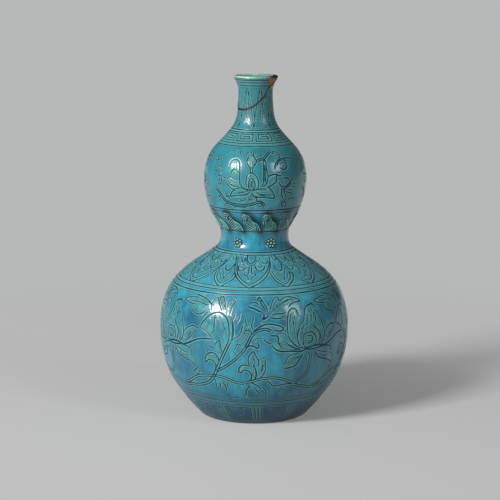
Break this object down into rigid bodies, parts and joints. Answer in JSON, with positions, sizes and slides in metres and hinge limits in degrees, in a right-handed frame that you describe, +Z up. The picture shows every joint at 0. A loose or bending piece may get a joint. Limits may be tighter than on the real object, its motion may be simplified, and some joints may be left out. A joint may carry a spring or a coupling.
{
  "type": "double gourd vase",
  "caption": "Hollow two-bulb vase with a flared neck, waisted middle and turned foot ring, built from luted sections with moulded appliques and a lacquer-mended neck.",
  "frame": {"origin": "centre of the foot ring's resting plane", "axes": "+Z up the axis of the vase towards the mouth; -Y towards the front, where the picture was taken"},
  "size_m": [0.1674, 0.1674, 0.3018],
  "materials": {
    "glazed_stoneware": "glossy turquoise lead-alkaline glaze over incised stoneware",
    "applique_glaze": "glossy turquoise glaze, thin and greener over the moulded relief",
    "fired_slip": "matt fired luting slip",
    "lacquer_repair": "brown lacquer, satin"
  },
  "bodies": {
    "root": {"lower_bulb_base": "glazed_stoneware", "lower_bulb_shoulder": "glazed_stoneware", "waist_collar": "glazed_stoneware", "upper_bulb_base": "glazed_stoneware", "upper_bulb_shoulder": "glazed_stoneware", "neck_stump": "glazed_stoneware", "neck_fragment": "glazed_stoneware", "rosette_01": "applique_glaze", "rosette_02": "applique_glaze", "rosette_03": "applique_glaze", "rosette_04": "applique_glaze", "leaf_sprig_01": "applique_glaze", "leaf_sprig_02": "applique_glaze", "leaf_sprig_03": "applique_glaze", "leaf_sprig_04": "applique_glaze", "leaf_sprig_05": "applique_glaze", "leaf_sprig_06": "applique_glaze", "leaf_sprig_07": "applique_glaze", "leaf_sprig_08": "applique_glaze", "leaf_sprig_09": "applique_glaze", "leaf_sprig_10": "applique_glaze", "leaf_sprig_11": "applique_glaze", "leaf_sprig_12": "applique_glaze", "leaf_sprig_13": "applique_glaze", "belly_slip_ring": "fired_slip", "waist_foot_slip_ring": "fired_slip", "waist_top_slip_ring": "fired_slip", "bulb_slip_ring": "fired_slip", "neck_slip_ring": "fired_slip", "break_seam": "lacquer_repair", "lip_fill": "lacquer_repair"}
  },
  "joints": []
}
